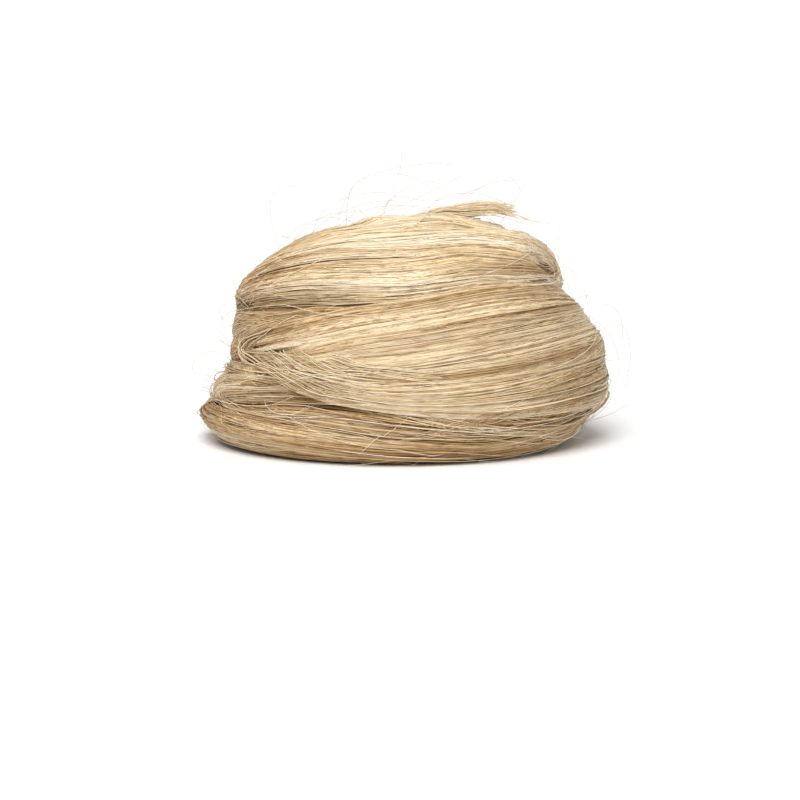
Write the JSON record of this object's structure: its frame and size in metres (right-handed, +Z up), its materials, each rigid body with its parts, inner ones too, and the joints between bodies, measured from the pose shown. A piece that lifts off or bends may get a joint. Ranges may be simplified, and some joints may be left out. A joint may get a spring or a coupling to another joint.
{
  "type": "top knot hairpiece",
  "caption": "Ready-made bun of wound blonde hair with a domed top, loose ends and a hollow with an elastic band for the wearer's own knot.",
  "frame": {"origin": "middle of the underside, on the surface that the bun stands on, under the centre of its box", "axes": "+Z up through the dome, +X to the side that the loose ends point to, +Y to the back"},
  "size_m": [0.08, 0.0733, 0.0481],
  "materials": {
    "blonde_hair": "straight, soft, satin hair with lighter and darker strands",
    "shaded_hair": "the same hair where it lies deep between two locks, darker and duller",
    "elastic": "matt woven elastic in the colour of the hair"
  },
  "bodies": {
    "root": {"elastic_band": "elastic", "bottom_lock": "blonde_hair", "under_lock": "shaded_hair", "lower_lock": "blonde_hair", "middle_lock": "blonde_hair", "top_coil": "blonde_hair", "loose_ends": "blonde_hair"}
  },
  "joints": []
}
